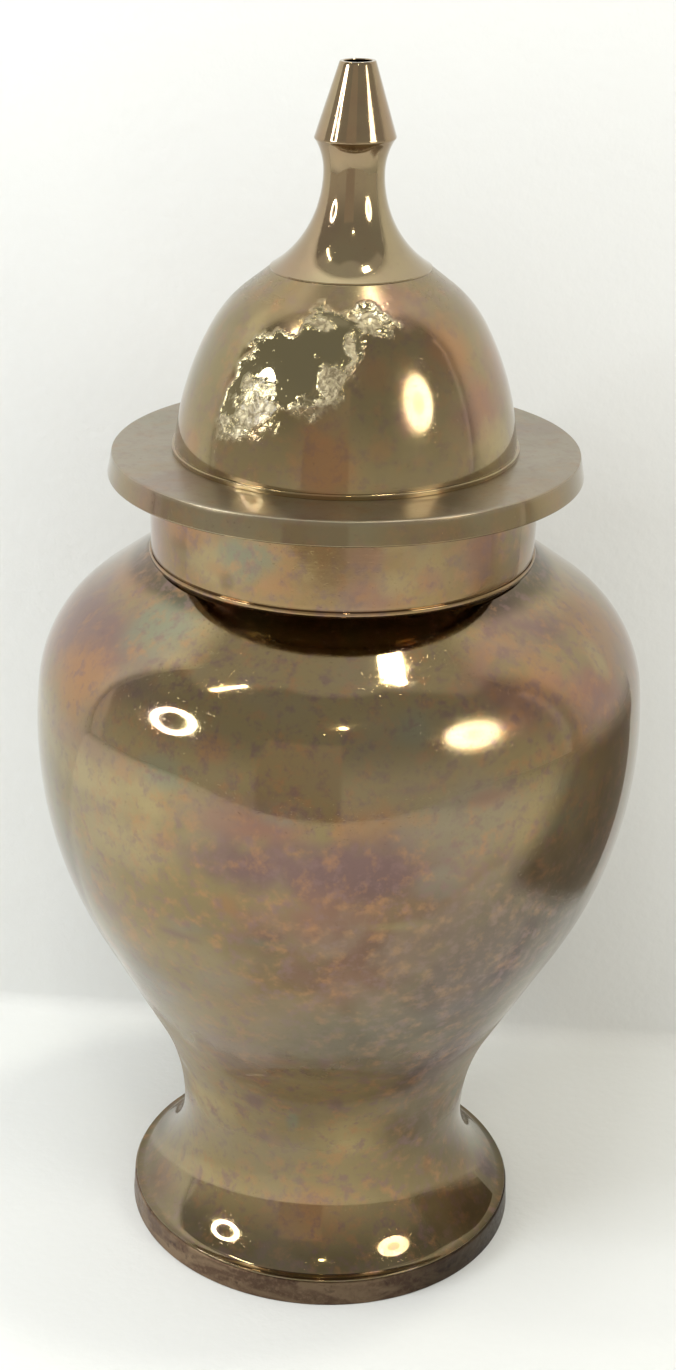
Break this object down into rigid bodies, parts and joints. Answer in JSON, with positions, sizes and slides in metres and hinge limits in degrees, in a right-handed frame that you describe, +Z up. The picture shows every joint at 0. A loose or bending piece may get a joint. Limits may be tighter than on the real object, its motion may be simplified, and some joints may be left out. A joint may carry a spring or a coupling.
{
  "type": "lidded temple jar",
  "caption": "Free-standing hollow brass jar with a flared pedestal foot, a straight neck and a lift-off domed lid with a turned finial.",
  "frame": {"origin": "middle of the flat foot, on the surface that the jar stands on", "axes": "+Z up along the turning axis, towards the finial; the jar looks the same from every side"},
  "size_m": [0.2006, 0.2006, 0.4],
  "materials": {
    "polished_brass": "polished, unevenly tarnished, olive gold with pink and mauve areas",
    "flange_brass": "polished, grey-pink tarnish",
    "foot_brass": "satin, red-brown tarnish",
    "inside_brass": "unpolished, dark",
    "fastener_brass": "plain machined"
  },
  "bodies": {
    "jar": {"foot_ring": "foot_brass", "foot_shell": "polished_brass", "body_shell": "polished_brass", "neck_collar": "polished_brass", "floor_disc": "inside_brass"},
    "lid": {"lid_flange": "flange_brass", "lid_locating_ring": "inside_brass", "lid_dome": "polished_brass", "finial": "polished_brass", "finial_stud": "fastener_brass", "finial_washer": "fastener_brass", "finial_nut": "fastener_brass"}
  },
  "joints": [
    {"name": "lid_lift", "type": "slide", "parent": "jar", "child": "lid", "axis": [0, 0, 1], "range_m": [0, 0.16]}
  ]
}
